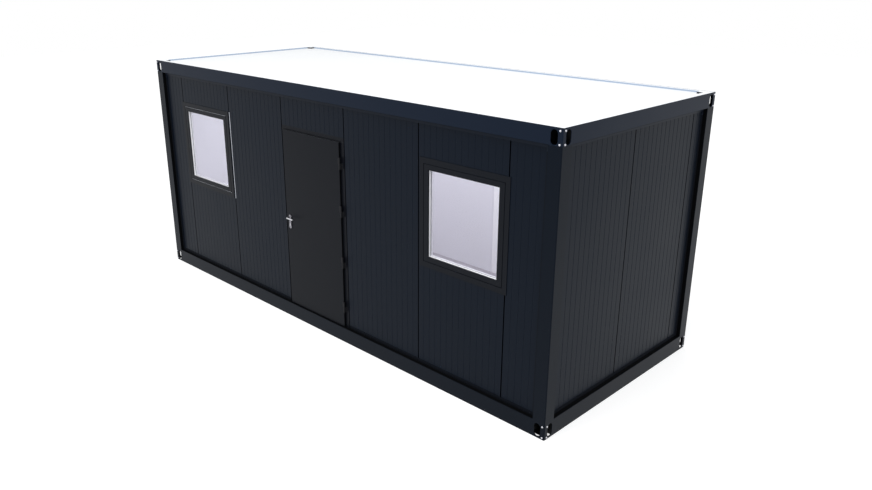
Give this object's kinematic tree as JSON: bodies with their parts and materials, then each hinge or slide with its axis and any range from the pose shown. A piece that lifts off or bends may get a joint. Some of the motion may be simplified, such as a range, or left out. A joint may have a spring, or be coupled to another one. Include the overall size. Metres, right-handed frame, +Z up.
{
  "type": "shipping container cabin",
  "caption": "Flat-roofed steel cabin in container form, with an outward-opening side door, fixed windows and slotted lifting corners.",
  "frame": {"origin": "middle of the base, on the ground, midway between the outer faces of the frame", "axes": "+X along the cabin to its right end seen from the door side, -Y out of the door side, +Z up"},
  "size_m": [6, 2.442, 2.6],
  "materials": {
    "frame_paint": "satin anthracite paint",
    "panel_paint": "satin anthracite coil coating outside, white inside",
    "door_paint": "satin anthracite powder coat",
    "seal_rubber": "matt black sealing rubber",
    "white_plastic": "white window plastic",
    "handle_metal": "satin aluminium",
    "hinge_metal": "zinc plated steel",
    "clear_glass": "clear window glass",
    "floor_finish": "brown sheet floor on board",
    "roof_coat": "white roof coating",
    "ceiling_lining": "white coated lining",
    "zinc_sheet": "galvanised sheet"
  },
  "bodies": {
    "cabin": {"front_bottom_rail": "frame_paint", "back_bottom_rail": "frame_paint", "left_bottom_rail": "frame_paint", "right_bottom_rail": "frame_paint", "front_top_rail": "frame_paint", "back_top_rail": "frame_paint", "left_top_rail": "frame_paint", "right_top_rail": "frame_paint", "front_left_post": "frame_paint", "front_right_post": "frame_paint", "back_left_post": "frame_paint", "back_right_post": "frame_paint", "bottom_castings": "frame_paint", "top_castings": "frame_paint", "underfloor_sheet": "zinc_sheet", "floor_cross_members": "frame_paint", "floor_board": "floor_finish", "roof_cross_members": "frame_paint", "roof_sheet": "roof_coat", "ceiling_board": "ceiling_lining", "front_plain_panels": "panel_paint", "left_window_panel": "panel_paint", "right_window_panel": "panel_paint", "over_door_panel": "panel_paint", "back_wall_panels": "panel_paint", "left_wall_panels": "panel_paint", "right_wall_panels": "panel_paint", "wall_seals": "seal_rubber", "left_window_flange": "frame_paint", "left_window_frame": "frame_paint", "left_window_glass": "clear_glass", "right_window_flange": "frame_paint", "right_window_frame": "frame_paint", "right_window_glass": "clear_glass", "window_beads": "white_plastic", "door_frame": "frame_paint", "door_threshold": "handle_metal", "hinge_frame_halves": "hinge_metal"},
    "door": {"door_leaf": "door_paint", "hinge_leaf_halves": "hinge_metal", "handle_plates": "handle_metal", "lock_cylinder": "handle_metal"},
    "lever": {"outer_lever": "handle_metal", "inner_lever": "handle_metal"}
  },
  "joints": [
    {"name": "door_swing", "type": "hinge", "parent": "cabin", "child": "door", "pos_m": [0.452, -1.186, 1.13], "axis": [0, 0, 1], "range_deg": [0, 120]},
    {"name": "lever_turn", "type": "hinge", "parent": "door", "child": "lever", "pos_m": [-0.405, -1.16, 1.165], "axis": [0, 1, 0], "range_deg": [0, 40], "stiffness_Nm_per_rad": 1.4, "springref_deg": -17.19}
  ]
}
